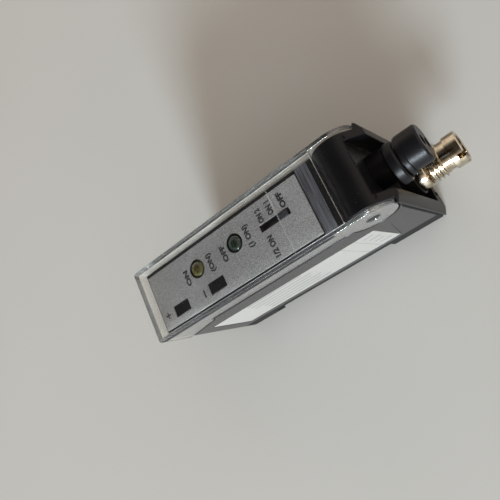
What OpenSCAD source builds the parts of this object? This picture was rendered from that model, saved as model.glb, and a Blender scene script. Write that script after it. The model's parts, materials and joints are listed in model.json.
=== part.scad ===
// Rail-mounted optical proximity sensor. A black case carries a control deck under a clear hinged
// dust cover. A light-guide port and a threaded plug connector leave the rear, one above the other,
// and the base clips on a 35 mm rail. X runs from front to rear, Y across, Z up from the base.

/* [Case] */
// Length of the case from front face to rear face
case_l = 61.8; // [60.8:0.2:66]
// Width of the case across its two sides
case_w = 18; // [17.6:0.2:22]
// Height of the control deck above the base
deck_h = 35; // [34.6:0.2:39]
// Thickness of the case walls
wall = 1.6; // [1.3:0.1:1.8]
// Radius of the upright corner edges
corner_r = 0.8; // [0.4:0.1:1.2]
// Length of the case's own strip behind the side cover
flange_l = 0.95; // [0.9:0.05:1]
// Height of the rear corner of the cheeks below the deck
cheek_drop = 1.7; // [1.6:0.1:3]
// Depth of the recess between the cheeks
recess_d = 3.4; // [2.8:0.1:3.8]
// Thickness of the two cheeks
cheek_t = 3; // [2.8:0.1:3.4]
// Depth of the slant across the rear face of each cheek
rear_slant = 0.75; // [0.3:0.05:0.8]
// Width of the flat part of each cheek's rear face
rear_flat = 1.3; // [0.8:0.1:1.8]

/* [Dust cover] */
// Thickness of the clear cover
cover_t = 0.9; // [0.8:0.1:1.1]
// Free gap between the cover and the case
cover_gap = 0.3; // [0.2:0.05:0.4]
// Clear height between the deck and the cover's top
cover_head = 2.3; // [2.2:0.1:3]
// Depth of the cover's long sides below the deck
side_drop = 3.15; // [2.6:0.05:3.6]
// Depth of the cover's front skirt below the deck
skirt_front_drop = 7.7; // [6:0.1:7.9]
// Depth of the skirt's rear corner below the deck
skirt_rear_drop = 4.15; // [3.8:0.05:5]
// Length of the deeper front skirt along each side
skirt_l = 10.3; // [8:0.1:13]
// Distance of the hinge axis from the rear face
hinge_inset = 6.5; // [6.45:0.05:7]
// Depth of the hinge axis below the deck
hinge_drop = 2; // [1.6:0.1:2.2]
// Diameter of the hinge trunnions
trunnion_d = 2.8; // [2.2:0.1:3.4]
// Radius of the round hump between the ears
hump_r = 5; // [4.6:0.1:5.1]
// Distance of the cover's rear top edge ahead of the hinge axis
lid_back = 3.7; // [3.6:0.1:4.6]
// Position of the fine line across the cover's top as a share of its length
lid_line_share = 0.772; // [0.6:0.002:0.9]

/* [Control deck] */
// Margin of the deck behind the panel, up to the hinge ears
panel_back = 4; // [3.6:0.1:5]
// Margin of the deck on each side of the panel
panel_side = 0.95; // [0.5:0.05:1.2]
// Thickness of the printed panel
panel_t = 0.25; // [0.15:0.05:0.4]
// Margin of the case ahead of the panel
panel_margin = 0.4; // [0.2:0.1:1]
// Diameter of the indicator domes
led_d = 4; // [3:0.1:4.2]
// Height of the indicator domes above the panel
led_dome_h = 0.7; // [0.5:0.1:1.4]
// Offset of the indicators from the middle
led_y = 1.95; // [1.2:0.05:2.2]
// Position of the yellow indicator as a share of the panel's length
yellow_share = 0.318; // [0.31:0.002:0.35]
// Position of the green indicator as a share of the panel's length
green_share = 0.574; // [0.54:0.002:0.58]
// Length of the push buttons
button_l = 4.5; // [3.6:0.1:5]
// Width of the push buttons
button_w = 2.4; // [2:0.1:2.5]
// Distance of the push buttons' middle from the wall beside them
button_edge = 2.35; // [2.2:0.05:2.6]
// Position of the plus button as a share of the panel's length
plus_share = 0.142; // [0.13:0.002:0.2]
// Position of the minus button as a share of the panel's length
minus_share = 0.392; // [0.37:0.002:0.42]
// Travel of the push buttons
button_travel = 0.4; // [0.2:0.05:0.4]
// Length of the mode slot as a share of the panel's length
slot_share = 0.174; // [0.16:0.002:0.176]
// Width of the mode slot
slot_w = 1.6; // [1.2:0.1:1.8]
// Position of the mode slot as a share of the panel's length
mode_share = 0.818; // [0.812:0.002:0.84]
// Offset of the mode slot from the middle
mode_y = 1.1; // [0.8:0.05:1.6]
// Length of the mode knob
knob_l = 2.4; // [2.2:0.1:3]

/* [Rail foot] */
// Width of the rail seat
rail_w = 35.2; // [35.1:0.1:35.4]
// Length of the foot behind the rail seat
foot_rear = 14.8; // [14:0.1:15.6]
// Height of the rail seat above the base
seat_h = 3; // [2.9:0.1:3.2]
// Height of the grooves that take the rail's lips
lip_t = 1.4; // [1.2:0.05:1.5]
// Reach of the hooks under the rail's lips
hook_l = 1.3; // [1:0.1:1.6]
// Width of the sliding latch
latch_w = 6; // [5:0.2:7]
// Travel of the sliding latch
latch_travel = 2; // [1.4:0.1:2]
// Distance of the latch's rear end inside the rear face
latch_set = 0.2; // [0.1:0.1:0.6]

/* [Light-guide port] */
// Depth of the port's axis below the deck
port_drop = 7.35; // [7.2:0.05:7.6]
// Diameter of the port's neck
neck_d = 7.6; // [7.5:0.1:8]
// Diameter of the port's grip ring
ring_d = 9; // [8.8:0.1:9.6]
// Offset of the grip ring towards the label side
ring_shift = 0.65; // [0:0.05:0.7]
// Width of the port's grip ring
ring_t = 2.3; // [1.6:0.1:2.6]
// Diameter of the port's end section
port_end_d = 8.1; // [7.7:0.1:8.4]
// Reach of the port behind the case
port_reach = 7.7; // [7:0.1:9]
// Diameter of the two light-guide holes
guide_d = 2.3; // [2:0.05:2.4]
// Distance between the two light-guide holes
guide_pitch = 3; // [2.9:0.05:3.1]

/* [Plug connector] */
// Height of the connector's axis above the base
plug_z = 11; // [10.6:0.1:12]
// Outer diameter of the connector's thread
thread_d = 8; // [7.6:0.1:8.4]
// Pitch of the connector's thread
thread_pitch = 1; // [0.75:0.05:1.25]
// Length of the connector's thread
thread_l = 4.2; // [3.5:0.1:5]
// Diameter of the connector's collar
collar_d = 8.6; // [8.5:0.1:9]
// Length of the connector's collar
collar_l = 2.5; // [2:0.1:3]
// Diameter of the connector's snap groove
groove_d = 6.7; // [6.4:0.1:7]
// Length of the connector's snap groove
groove_l = 1.5; // [1:0.1:2]
// Diameter of the connector's nose
nose_d = 7.6; // [7.2:0.1:8]
// Length of the connector's nose
nose_l = 3; // [2.4:0.1:3.4]
// Diameter of the connector's socket
socket_d = 5.6; // [5.4:0.1:5.7]
// Depth of the connector's socket
socket_depth = 5; // [4:0.1:6]
// Diameter of the contact pins
pin_d = 1; // [0.8:0.05:1.1]
// Diameter of the circle the contact pins stand on
pin_circle = 3; // [2.8:0.1:3.2]

/* [Side label] */
// Margin of the side cover behind the side label
label_back = 10.3; // [9.5:0.1:14]
// Margin of the side cover above the side label
label_over = 2.6; // [0.5:0.1:4]
// Distance of the side label from the front face
label_x = 4.6; // [3:0.1:6]
// Height of the side label's lower edge above the rail seat
label_rise = 4.7; // [2:0.1:6]
// Thickness of the side label
label_t = 0.2; // [0.1:0.05:0.3]

/* [Boards] */
// Thickness of the circuit boards
board_t = 1.2; // [1:0.1:1.4]
// Space between the deck's underside and the control board
control_space = 5.4; // [5.3:0.1:5.6]
// Offset of the main board's component face from the middle
main_board_y = 2; // [1.8:0.1:2.2]

/* [Hidden] */
$fn = 64;

// Clearances shared by the fits
slide_gap = 0.15;
run_gap = 0.05;
seat_gap = 0.02;
board_gap = 0.2;
cut = 1;

// Case
half_w = case_w / 2;
side_t = cover_t + cover_gap;
recess_w = case_w - 2 * cheek_t;
half_deck = half_w - side_t;
floor_z = seat_h + 1.4;
deck_under = deck_h - wall;
recess_x = case_l - recess_d;
recess_z = seat_h + 0.9;
inner_rear = recess_x - wall;
inner_far = half_w - wall;
inner_half = half_deck - wall;

// Dust cover
hinge_x = case_l - hinge_inset;
hinge_z = deck_h - hinge_drop;
cover_top = deck_h + cover_head + cover_t;
cover_front = -side_t;
ear_r = cover_top - hinge_z;
cheek_top = hinge_z + sqrt(pow(hump_r, 2) - pow(recess_x - hinge_x, 2));
side_z = deck_h - side_drop;
skirt_front_z = deck_h - skirt_front_drop;
skirt_rear_z = deck_h - skirt_rear_drop;
skirt_slope = (skirt_rear_z - skirt_front_z) / (skirt_l - cover_front);
lid_rear = hinge_x - lid_back;
lid_line_x = cover_front + lid_line_share * (lid_rear - cover_front);
lid_line_w = 0.25;
lid_line_d = 0.15;
shoulder_t = 1;
shoulder_z = min(skirt_front_z, hinge_z - ear_r) - cover_gap - shoulder_t;
bay_rear = hinge_x - ear_r - shoulder_t;

// Control deck
panel_top = deck_h + panel_t;
panel_l = hinge_x - ear_r - panel_back - panel_margin;
panel_w = 2 * (half_deck - panel_side);
yellow_x = panel_margin + yellow_share * panel_l;
green_x = panel_margin + green_share * panel_l;
plus_x = panel_margin + plus_share * panel_l;
minus_x = panel_margin + minus_share * panel_l;
mode_x = panel_margin + mode_share * panel_l;
button_y = button_edge - inner_half;
slot_l = slot_share * panel_l;
knob_end = 0.6;
mode_travel = (slot_l - knob_l) / 2 - knob_end;
knob_x = mode_x + mode_travel;
control_top = deck_under - control_space;
control_bottom = control_top - board_t;
control_half = inner_half - board_gap;
control_front = wall + 0.9;
control_rear = bay_rear - 2.1;
led_hole = led_d + 2 * slide_gap;
flange_t = 0.8;
flange_rim = 0.5;
button_proud = 0.1;
switch_h = 2.2;
switch_l = 4.4;
switch_w = 3.2;
stem_d = 1.6;
stem_in = 0.8;
dome_t = 0.2;
switch_floor = control_top + switch_h - stem_in - button_travel - dome_t - 0.2;
carriage_lap = 0.3;
carriage_l = slot_l + 2 * (mode_travel + carriage_lap);
carriage_w = slot_w + 5 * carriage_lap;
knob_w = slot_w - 2 * slide_gap;
knob_stem_l = 1.6;
knob_stem_w = 1;
mode_switch_h = 3;
mode_switch_l = knob_stem_l + 2 * mode_travel + 4;
mode_switch_w = 4.2;
mode_stem_z = control_top + 1.4;

// Boards
block_l = 7.8;
block_gap = 0.9;
main_front = wall + 1.4;
main_rear = inner_rear - block_l - block_gap;
main_top = control_bottom - 1.3;
main_bottom = floor_z + 0.8;
main_far = main_board_y + board_t;
post_inset = 3;
post_xs = [main_front + post_inset, main_rear - 2 * post_inset];
post_zs = [floor_z + 3.6, main_top - 5];
post_d = 2.6;
shelf_t = 1.4;
shelf_in = control_half - 1.3;
shelf_front = control_front + 1.5;
shelf_rear = control_rear - 3;

// Parts on the main board
link_x = main_front + 0.35 * (main_rear - main_front);
link_l = 10;
link_w = 2.4;
link_in = 1.6;
chip_x = main_front + 0.19 * (main_rear - main_front);
chip_z = main_bottom + 3.4;
chip_l = 5;
chip_w = 3.6;
chip_t = 1.2;
chip_gap = 1.8;
processor_x = main_front + 0.32 * (main_rear - main_front);
processor_l = 7;
can_x = main_front + 0.6 * (main_rear - main_front);
can_rise = 5.8;
can_l = 9;
can_h = 7.5;
can_w = 3;
can_t = 0.3;
can_cap_d = 3.6;
can_cap_h = 4;

// Light-guide port
port_z = deck_h - port_drop;
port_end = case_l + port_reach;
shank_d = 6;
block_h = 7.1;
block_w = 2 * (inner_half - block_gap);
block_front = inner_rear - block_l;
shank_front = inner_rear - 3.8;
ring_x = case_l + 0.2;
port_seal_bore = neck_d - 0.3;
port_seal_depth = 0.8;
port_seal_r = 0.28;
diode_d = 2.6;
diode_rim = 0.2;
diode_rim_l = 1.4;
diode_l = 3;
light_hole = 1.5;

// Plug connector
sleeve_shank_d = socket_d + 0.8;
sleeve_in = case_l - inner_rear;
sleeve_end = collar_l + thread_l + groove_l + nose_l;
plug_end = case_l + sleeve_end;
thread_root = thread_d - 1.1 * thread_pitch;
plug_seal_bore = collar_d - 0.2;
plug_seal_depth = 1;
plug_boss_d = collar_d + 0.8;
plug_seal_r = (plug_seal_bore - sleeve_shank_d) / 4 - run_gap;
insert_d = socket_d - 2 * run_gap;
insert_in = sleeve_in + 1.5;
pin_in = insert_in + 1;
pin_tip = sleeve_end - 1;
key_w = 1.2;
key_l = 1.6;
key_angle = 40;
lead_d = 0.8;
lead_far_turn = 1.5;
lead_near_turn = 3.9;

// Rail foot
rail_x = case_l - foot_rear - rail_w;
rail_rear = rail_x + rail_w;
channel_top = seat_h - 0.1;
latch_clear = 0.2;
latch_low = 0.2;
latch_top = channel_top - slide_gap;
latch_wing = 1.2;
wing_z = lip_t;
claw_top = seat_h - lip_t - 0.1;
pocket_w = 2.4;
pocket_front = rail_rear + 2.7;
pocket_rear = pocket_front + 6;
stop_rear = pocket_rear - latch_clear;
stop_l = 1.1;
stop_w = 1.8;
pry_w = 3.6;
spring_d = 1.7;
spring_wire = 0.3;
spring_z = latch_top - spring_d / 2 - 0.05;
spring_turns = 6;

// The origin lies under the middle of the overall length
mid_x = (cover_front + plug_end) / 2;

module place() translate([-mid_x, 0, 0]) children();

// A box between two opposite corners
module box(low, high) translate(low) cube(high - low);

// An outline in X and Z, made solid between two values of Y
module across(y0, y1) translate([0, y1, 0]) rotate([90, 0, 0]) linear_extrude(y1 - y0) children();

// A round bar along X, and one along Y
module bar_x(x0, x1, d, y, z) translate([x0, y, z]) rotate([0, 90, 0]) cylinder(h = x1 - x0, d = d);
module bar_y(y0, y1, d, x, z) translate([x, y0, z]) rotate([-90, 0, 0]) cylinder(h = y1 - y0, d = d);

// A turned shape about an axis along X, from points of radius and distance
module turned(x, z, points) translate([x, 0, z]) rotate([0, 90, 0]) rotate_extrude() polygon(points);

// An O-ring about an axis along X
module ring_seal(x, z, mean_r, wire_r)
    translate([x, 0, z]) rotate([0, 90, 0]) rotate_extrude() translate([mean_r, 0]) circle(wire_r);

// A rectangle with round corners, from x0 to x1 and as wide as the case
module round_plan(x0, x1, r) {
    translate([x0 + r, -half_w]) square([x1 - x0 - 2 * r, case_w]);
    translate([x0, r - half_w]) square([x1 - x0, case_w - 2 * r]);
    for (x = [x0 + r, x1 - r], y = [r - half_w, half_w - r]) translate([x, y]) circle(r);
}

// Plan of the case: round front corners, and slanted rear faces on the cheeks
module case_plan() difference() {
    round_plan(0, case_l + 2 * corner_r, corner_r);
    for (side = [-1, 1]) polygon([
        [case_l - rear_slant, side * half_w], [case_l, side * (recess_w / 2 + rear_flat)],
        [case_l + 3 * cut, side * (recess_w / 2 + rear_flat)], [case_l + 3 * cut, side * (half_w + cut)],
        [case_l - rear_slant, side * (half_w + cut)]
    ]);
}

// Side outline of the case, with the round hump at the hinge
module case_profile() {
    difference() {
        polygon([
            [0, 0], [case_l, 0], [case_l, deck_h - cheek_drop], [recess_x, cheek_top],
            [hinge_x, deck_h], [0, deck_h]
        ]);
        rail_notch();
    }
    translate([hinge_x, hinge_z]) circle(hump_r);
}

// Side outline of the rail seat, with the groove for the front lip
module rail_notch() {
    translate([rail_x, -cut]) square([rail_w, seat_h + cut]);
    translate([rail_x - hook_l, seat_h - lip_t]) square([hook_l + cut, lip_t]);
}

// Side outline of the dust cover
module cover_profile() {
    polygon([
        [cover_front, skirt_front_z], [skirt_l, skirt_rear_z], [skirt_l, side_z],
        [hinge_x, side_z], [hinge_x, cover_top], [cover_front, cover_top]
    ]);
    translate([hinge_x, hinge_z]) circle(ear_r);
}

// Side outline of the room that the dust cover takes up, with its gap
module cover_room() {
    front = cover_front - cut;
    polygon([
        [front, skirt_front_z - cover_gap - skirt_slope * cut],
        [skirt_l + cover_gap, skirt_rear_z - cover_gap], [skirt_l + cover_gap, side_z - cover_gap],
        [hinge_x, side_z - cover_gap],
        [hinge_x, cover_top + cut], [front, cover_top + cut]
    ]);
    translate([hinge_x, hinge_z]) circle(ear_r + cover_gap);
}

// Openings in the deck and its panel for the indicators, the buttons and the knob
module control_openings(z0, z1) {
    for (x = [yellow_x, green_x]) translate([x, led_y, z0]) cylinder(h = z1 - z0, d = led_hole);
    button_hole = [button_l + 2 * slide_gap, button_w + 2 * slide_gap];
    for (x = [plus_x, minus_x]) middle_box([x, button_y], button_hole, z0, z1);
    middle_box([mode_x, mode_y], [slot_l, slot_w], z0, z1);
}

// An upright box about a middle point, between two heights
module middle_box(at, size, z0, z1)
    translate([at.x - size.x / 2, at.y - size.y / 2, z0]) cube([size.x, size.y, z1 - z0]);

// Hollow of the case: a wide lower room, a narrower bay under the deck, and the optical pocket
module case_hollow() {
    box([wall, -half_deck - cut, floor_z], [inner_rear, inner_far, shoulder_z]);
    box([wall, -inner_half, shoulder_z - cut], [bay_rear, inner_half, deck_under]);
    box([bay_rear - cut, -inner_half, shoulder_z - cut], [inner_rear, inner_half, port_z + block_h / 2]);
}

// Channel of the latch, wider above than at its mouth
module latch_channel() {
    low_half = latch_w / 2 + latch_clear;
    box([rail_rear - cut, -low_half, -cut], [case_l + cut, low_half, channel_top]);
    wing_half = low_half + latch_wing;
    box([rail_rear - cut, -wing_half, wing_z], [case_l + cut, wing_half, channel_top]);
}

// Black case, open on the label side
module main_case() color([0.07, 0.07, 0.08]) place() {
    difference() {
        intersection() {
            union() {
                across(-half_deck, half_w) case_profile();
                across(-half_w, -half_deck) intersection() {
                    case_profile();
                    translate([case_l - flange_l, 0]) square([flange_l, deck_h]);
                }
            }
            linear_extrude(cover_top) case_plan();
        }
        across(half_deck, half_w + cut) cover_room();
        across(-half_w - cut, -half_deck) cover_room();
        case_hollow();
        difference() {
            box([recess_x, -recess_w / 2, recess_z], [case_l + cut, recess_w / 2, cover_top + cut]);
            bar_x(recess_x - cut, case_l, plug_boss_d, 0, plug_z);
        }
        control_openings(deck_under - cut, deck_h + cut);
        bar_x(inner_rear - cut, recess_x + cut, shank_d + 2 * seat_gap, 0, port_z);
        bar_x(recess_x - port_seal_depth, recess_x + cut, port_seal_bore, 0, port_z);
        bar_x(inner_rear - cut, case_l + cut, sleeve_shank_d + 2 * seat_gap, 0, plug_z);
        bar_x(case_l - plug_seal_depth, case_l + cut, plug_seal_bore, 0, plug_z);
        latch_channel();
    }
    bar_y(half_deck - cut, half_w - run_gap, trunnion_d, hinge_x, hinge_z);
    bar_y(run_gap - half_w, cut - half_deck, trunnion_d, hinge_x, hinge_z);
    for (x = post_xs, z = post_zs) bar_y(main_far, inner_far + wall / 2, post_d, x, z);
    far_shelf = inner_far + wall / 2;
    box([shelf_front, shelf_in, control_bottom - shelf_t], [shelf_rear, far_shelf, control_bottom]);
    box([stop_rear - stop_l, -stop_w / 2, latch_low + 0.8], [stop_rear, stop_w / 2, channel_top + 0.4]);
}

// Outline of the side label
module label_profile(grow) {
    low = seat_h + label_rise;
    label_l = case_l - label_back - label_x;
    label_h = shoulder_z + shoulder_t - label_over - low;
    translate([label_x - grow, low - grow]) square([label_l + 2 * grow, label_h + 2 * grow]);
}

// Cover of the label side, with the posts and the shelf that hold the boards
module side_cover() color([0.09, 0.09, 0.1]) place() {
    plate_rear = case_l - flange_l - slide_gap;
    difference() {
        intersection() {
            across(-half_w, -half_deck) intersection() {
                case_profile();
                square([plate_rear, hinge_z]);
            }
            linear_extrude(cover_top) case_plan();
        }
        across(-half_w - cut, -half_deck + cut) cover_room();
        across(-half_w - cut, -half_w + label_t + run_gap) label_profile(slide_gap);
    }
    for (x = post_xs, z = post_zs) bar_y(-half_deck - side_t / 2, main_board_y, post_d, x, z);
    shelf_top = shoulder_z - slide_gap;
    box([shelf_front, -half_deck - side_t / 2, shelf_top - shelf_t], [shelf_rear, -shelf_in, shelf_top]);
    box([shelf_front, -control_half, shelf_top - shelf_t], [shelf_rear, -shelf_in, control_bottom]);
}

module side_label() color([0.82, 0.83, 0.81]) place()
    across(run_gap - half_w, run_gap + label_t - half_w) label_profile(0);

// Clear cover: a top, a front wall, and two sides that end in round ears
module dust_cover() color([0.85, 0.88, 0.88, 0.35]) place() difference() {
    intersection() {
        union() {
            across(half_w - cover_t, half_w) cover_profile();
            across(-half_w, cover_t - half_w) cover_profile();
            box([cover_front, -half_w, cover_top - cover_t], [lid_rear, half_w, cover_top]);
            box([cover_front, -half_w, skirt_front_z], [cover_front + cover_t, half_w, cover_top]);
        }
        linear_extrude(cover_top + cut) round_plan(cover_front, case_l + ear_r, corner_r);
    }
    bar_y(-half_w - cut, half_w + cut, trunnion_d + 2 * run_gap, hinge_x, hinge_z);
    line_half = half_w - cover_t;
    line_z = cover_top - cover_t;
    box([lid_line_x, -line_half, line_z - cut], [lid_line_x + lid_line_w, line_half, line_z + lid_line_d]);
}

module control_panel() color([0.56, 0.55, 0.54]) place() difference() {
    box([panel_margin, -panel_w / 2, deck_h], [panel_margin + panel_l, panel_w / 2, panel_top]);
    control_openings(deck_h - cut, panel_top + cut);
}

// An indicator with a foot on the control board and a dome above the panel
module indicator(x) translate([x, led_y, 0]) {
    foot_h = 1;
    dome_r = (pow(led_d / 2, 2) + pow(led_dome_h, 2)) / (2 * led_dome_h);
    translate([0, 0, control_top]) cylinder(h = foot_h, d = led_d + 0.8);
    translate([0, 0, control_top]) cylinder(h = panel_top - control_top, d = led_d);
    intersection() {
        translate([0, 0, panel_top + led_dome_h - dome_r]) sphere(dome_r);
        translate([0, 0, panel_top - run_gap]) cylinder(h = led_dome_h + cut, d = led_d);
    }
}

module green_led() color([0.12, 0.2, 0.16]) place() indicator(green_x);

module yellow_led() color([0.3, 0.28, 0.12]) place() indicator(yellow_x);

// A push button with a rim under the deck and a stem in its switch
module push_button(x) {
    rim_top = deck_under - run_gap;
    rim = [button_l + 2 * flange_rim, button_w + 2 * flange_rim];
    middle_box([x, button_y], [button_l, button_w], rim_top - flange_t, panel_top + button_proud);
    middle_box([x, button_y], rim, rim_top - flange_t, rim_top);
    stem_z = control_top + switch_h - stem_in;
    translate([x, button_y, stem_z]) cylinder(h = rim_top - stem_z, d = stem_d);
}

module plus_button() color([0.06, 0.06, 0.06]) place() push_button(plus_x);

module minus_button() color([0.06, 0.06, 0.06]) place() push_button(minus_x);

// Knob on a carriage that keeps the slot covered, with a stem in the slide switch
module mode_knob() color([0.07, 0.07, 0.07]) place() {
    carriage_top = deck_under - slide_gap;
    middle_box([knob_x, mode_y], [carriage_l, carriage_w], carriage_top - flange_t, carriage_top);
    middle_box([knob_x, mode_y], [knob_l, knob_w], carriage_top - flange_t, panel_top + button_proud);
    middle_box([knob_x, mode_y], [knob_stem_l, knob_stem_w], mode_stem_z, carriage_top);
}

// Stepped bush with two light-guide holes and an off-centre grip ring
module light_guide_bush() color([0.08, 0.08, 0.09]) place() difference() {
    groove_l_ring = 0.4;
    groove_r = shank_d / 2 + 0.5;
    step_r = port_end_d / 2 + 0.15;
    step_l = 0.9;
    edge = 0.4;
    ring_0 = ring_x - recess_x;
    ring_1 = ring_0 + ring_t;
    step_0 = ring_1 + groove_l_ring;
    step_1 = step_0 + step_l;
    end = port_end - recess_x;
    union() {
        turned(recess_x, port_z, [
            [0, shank_front - recess_x], [shank_d / 2, shank_front - recess_x], [shank_d / 2, 0],
            [neck_d / 2, 0], [neck_d / 2, ring_0 + edge], [groove_r, ring_0 + edge],
            [groove_r, step_0 + edge], [port_end_d / 2, step_0 + edge], [port_end_d / 2, end - edge],
            [port_end_d / 2 - edge, end], [0, end]
        ]);
        translate([0, -ring_shift / 2, 0])
            turned(recess_x, port_z, [[0, step_0], [step_r, step_0], [step_r, step_1], [0, step_1]]);
        translate([0, -ring_shift, 0]) turned(recess_x, port_z, [
            [0, ring_0], [ring_d / 2 - edge, ring_0], [ring_d / 2, ring_0 + edge],
            [ring_d / 2, ring_1 - edge], [ring_d / 2 - edge, ring_1], [0, ring_1]
        ]);
    }
    for (side = [-1, 1])
        bar_x(shank_front - cut, port_end + cut, guide_d, 0, port_z + side * guide_pitch / 2);
}

module bush_seal() color([0.05, 0.05, 0.05]) place()
    ring_seal(recess_x - port_seal_depth / 2, port_z, (shank_d + port_seal_bore) / 4, port_seal_r);

// Metal sleeve: a shank in the case, a collar, thread crests, a snap groove and a notched nose
module connector_sleeve() color([0.72, 0.7, 0.64]) place() difference() {
    thread_0 = collar_l;
    thread_1 = collar_l + thread_l;
    nose_0 = thread_1 + groove_l;
    edge = 0.35;
    crests = floor(thread_l / thread_pitch);
    crest_points = [
        for (i = [0 : crests - 1], p = [[0, 0.15], [1, 0.45], [1, 0.6], [0, 0.9]])
            [(p.x == 0 ? thread_root : thread_d) / 2, thread_0 + (i + p.y) * thread_pitch]
    ];
    turned(case_l, plug_z, concat(
        [
            [socket_d / 2, -sleeve_in], [sleeve_shank_d / 2, -sleeve_in], [sleeve_shank_d / 2, 0],
            [collar_d / 2, 0], [collar_d / 2, collar_l - edge], [collar_d / 2 - edge, collar_l],
            [thread_root / 2, collar_l]
        ],
        crest_points,
        [
            [thread_root / 2, thread_1], [groove_d / 2, thread_1], [groove_d / 2, nose_0],
            [nose_d / 2, nose_0], [nose_d / 2, sleeve_end - edge], [nose_d / 2 - edge, sleeve_end],
            [socket_d / 2, sleeve_end]
        ]
    ));
    translate([plug_end - key_l, 0, plug_z]) rotate([-key_angle, 0, 0])
        translate([0, -key_w / 2, 0]) cube([key_l + cut, key_w, collar_d]);
}

// Places of the four contact pins
module at_pins() for (a = [45 : 90 : 315])
    translate([0, pin_circle / 2 * cos(a), plug_z + pin_circle / 2 * sin(a)]) children();

module connector_insert() color([0.06, 0.06, 0.07]) place() difference() {
    bar_x(case_l - insert_in, plug_end - socket_depth, insert_d, 0, plug_z);
    at_pins() bar_x(case_l - insert_in - cut, plug_end, pin_d + 2 * seat_gap, 0, 0);
}

module contact_pins() color([0.8, 0.68, 0.35]) place()
    at_pins() bar_x(case_l - pin_in, case_l + pin_tip, pin_d, 0, 0);

module connector_seal() color([0.05, 0.05, 0.05]) place()
    ring_seal(case_l - plug_seal_depth / 2, plug_z, (sleeve_shank_d + plug_seal_bore) / 4, plug_seal_r);

// Four leads: each runs forward from its pin, then across to the main board
module connector_leads() color([0.75, 0.45, 0.25]) place()
    for (across_side = [-1, 1], up_side = [-1, 1]) {
        y = across_side * pin_circle / 2 * cos(45);
        z = plug_z + up_side * pin_circle / 2 * sin(45);
        turn_x = main_rear - (across_side > 0 ? lead_far_turn : lead_near_turn);
        bar_x(turn_x, case_l - pin_in, lead_d, y, z);
        translate([turn_x, y, z]) sphere(d = lead_d);
        bar_y(y, main_board_y, lead_d, turn_x, z);
    }

// Holder behind the port, with a seat for the bush and one for each diode
module optical_block() color([0.1, 0.1, 0.11]) place() difference() {
    box([block_front, -block_w / 2, port_z - block_h / 2], [inner_rear, block_w / 2, port_z + block_h / 2]);
    bar_x(shank_front - run_gap, inner_rear + cut, shank_d + 2 * run_gap, 0, port_z);
    for (side = [-1, 1]) {
        z = port_z + side * guide_pitch / 2;
        bar_x(block_front - cut, block_front + diode_l + run_gap, diode_d + 2 * run_gap, 0, z);
        bar_x(block_front, shank_front, light_hole, 0, z);
    }
}

// A diode with a rim against the front of the optical block
module diode(side) {
    z = port_z + side * guide_pitch / 2;
    bar_x(block_front - diode_rim_l, block_front + diode_l, diode_d, 0, z);
    bar_x(block_front - diode_rim_l, block_front, diode_d + diode_rim, 0, z);
}

module emitter_diode() color([0.7, 0.3, 0.3]) place() diode(1);

module receiver_diode() color([0.2, 0.2, 0.3]) place() diode(-1);

module control_board() color([0.1, 0.35, 0.2]) place()
    box([control_front, -control_half, control_bottom], [control_rear, control_half, control_top]);

module main_board() color([0.1, 0.35, 0.2]) place()
    box([main_front, main_board_y, main_bottom], [main_rear, main_far, main_top]);

// Header on the main board that carries the control board's connections
module board_link() color([0.15, 0.15, 0.15]) place()
    box(
        [link_x, main_board_y - link_w, main_top - link_in],
        [link_x + link_l, main_board_y, control_bottom]
    );

// Chips and a can capacitor on the main board's component face
module board_components() color([0.12, 0.12, 0.13]) place() {
    face = main_board_y;
    box([chip_x, face - chip_t, chip_z], [chip_x + chip_l, face, chip_z + chip_w]);
    chip_step = chip_w + chip_gap;
    box([chip_x, face - chip_t, chip_z + chip_step], [chip_x + chip_l, face, chip_z + chip_step + chip_w]);
    box([processor_x, face - chip_t, chip_z], [processor_x + processor_l, face, chip_z + processor_l]);
    bar_y(face - can_cap_h, face, can_cap_d, can_x - can_cap_d, chip_z + can_cap_d / 2);
}

// Thin metal screen, open towards the main board
module shield_can() color([0.7, 0.7, 0.68]) place() {
    can_z = main_bottom + can_rise;
    difference() {
        box([can_x, main_board_y - can_w, can_z], [can_x + can_l, main_board_y, can_z + can_h]);
        box(
            [can_x + can_t, main_board_y - can_w + can_t, can_z + can_t],
            [can_x + can_l - can_t, main_board_y + cut, can_z + can_h - can_t]
        );
    }
}

module tact_switches() color([0.2, 0.2, 0.2]) place() for (x = [plus_x, minus_x]) difference() {
    middle_box([x, button_y], [switch_l, switch_w], control_top, control_top + switch_h);
    translate([x, button_y, switch_floor]) cylinder(h = switch_h, d = stem_d + 2 * slide_gap);
}

module switch_domes() color([0.75, 0.73, 0.7]) place() for (x = [plus_x, minus_x])
    translate([x, button_y, switch_floor]) cylinder(h = dome_t, d = stem_d);

module mode_switch() color([0.25, 0.25, 0.26]) place() difference() {
    middle_box([mode_x, mode_y], [mode_switch_l, mode_switch_w], control_top, control_top + mode_switch_h);
    stem_room = [knob_stem_l + 2 * (mode_travel + slide_gap), knob_stem_w + 2 * slide_gap];
    middle_box([mode_x, mode_y], stem_room, mode_stem_z - slide_gap, control_top + mode_switch_h + cut);
}

// Latch with wings in the channel, a claw under the rail's lip, a pry slot and a spring pocket
module rail_latch() color([0.1, 0.1, 0.1]) place() difference() {
    tab_end = case_l - latch_set;
    half = latch_w / 2;
    union() {
        across(-half, half) polygon([
            [rail_rear - hook_l, latch_low + 0.5], [rail_rear - hook_l + 0.5, latch_low],
            [tab_end, latch_low], [tab_end, latch_top], [rail_rear + latch_clear, latch_top],
            [rail_rear + latch_clear, claw_top], [rail_rear - hook_l, claw_top]
        ]);
        wing_half = half + latch_wing;
        box([rail_rear + latch_clear, -wing_half, wing_z + slide_gap], [case_l - 1, wing_half, latch_top]);
    }
    box([pocket_front, -pocket_w / 2, latch_low + 0.6], [pocket_rear, pocket_w / 2, latch_top + cut]);
    box([tab_end - 2, -pry_w / 2, latch_low - cut], [tab_end - 0.9, pry_w / 2, latch_low + 1]);
}

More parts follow.
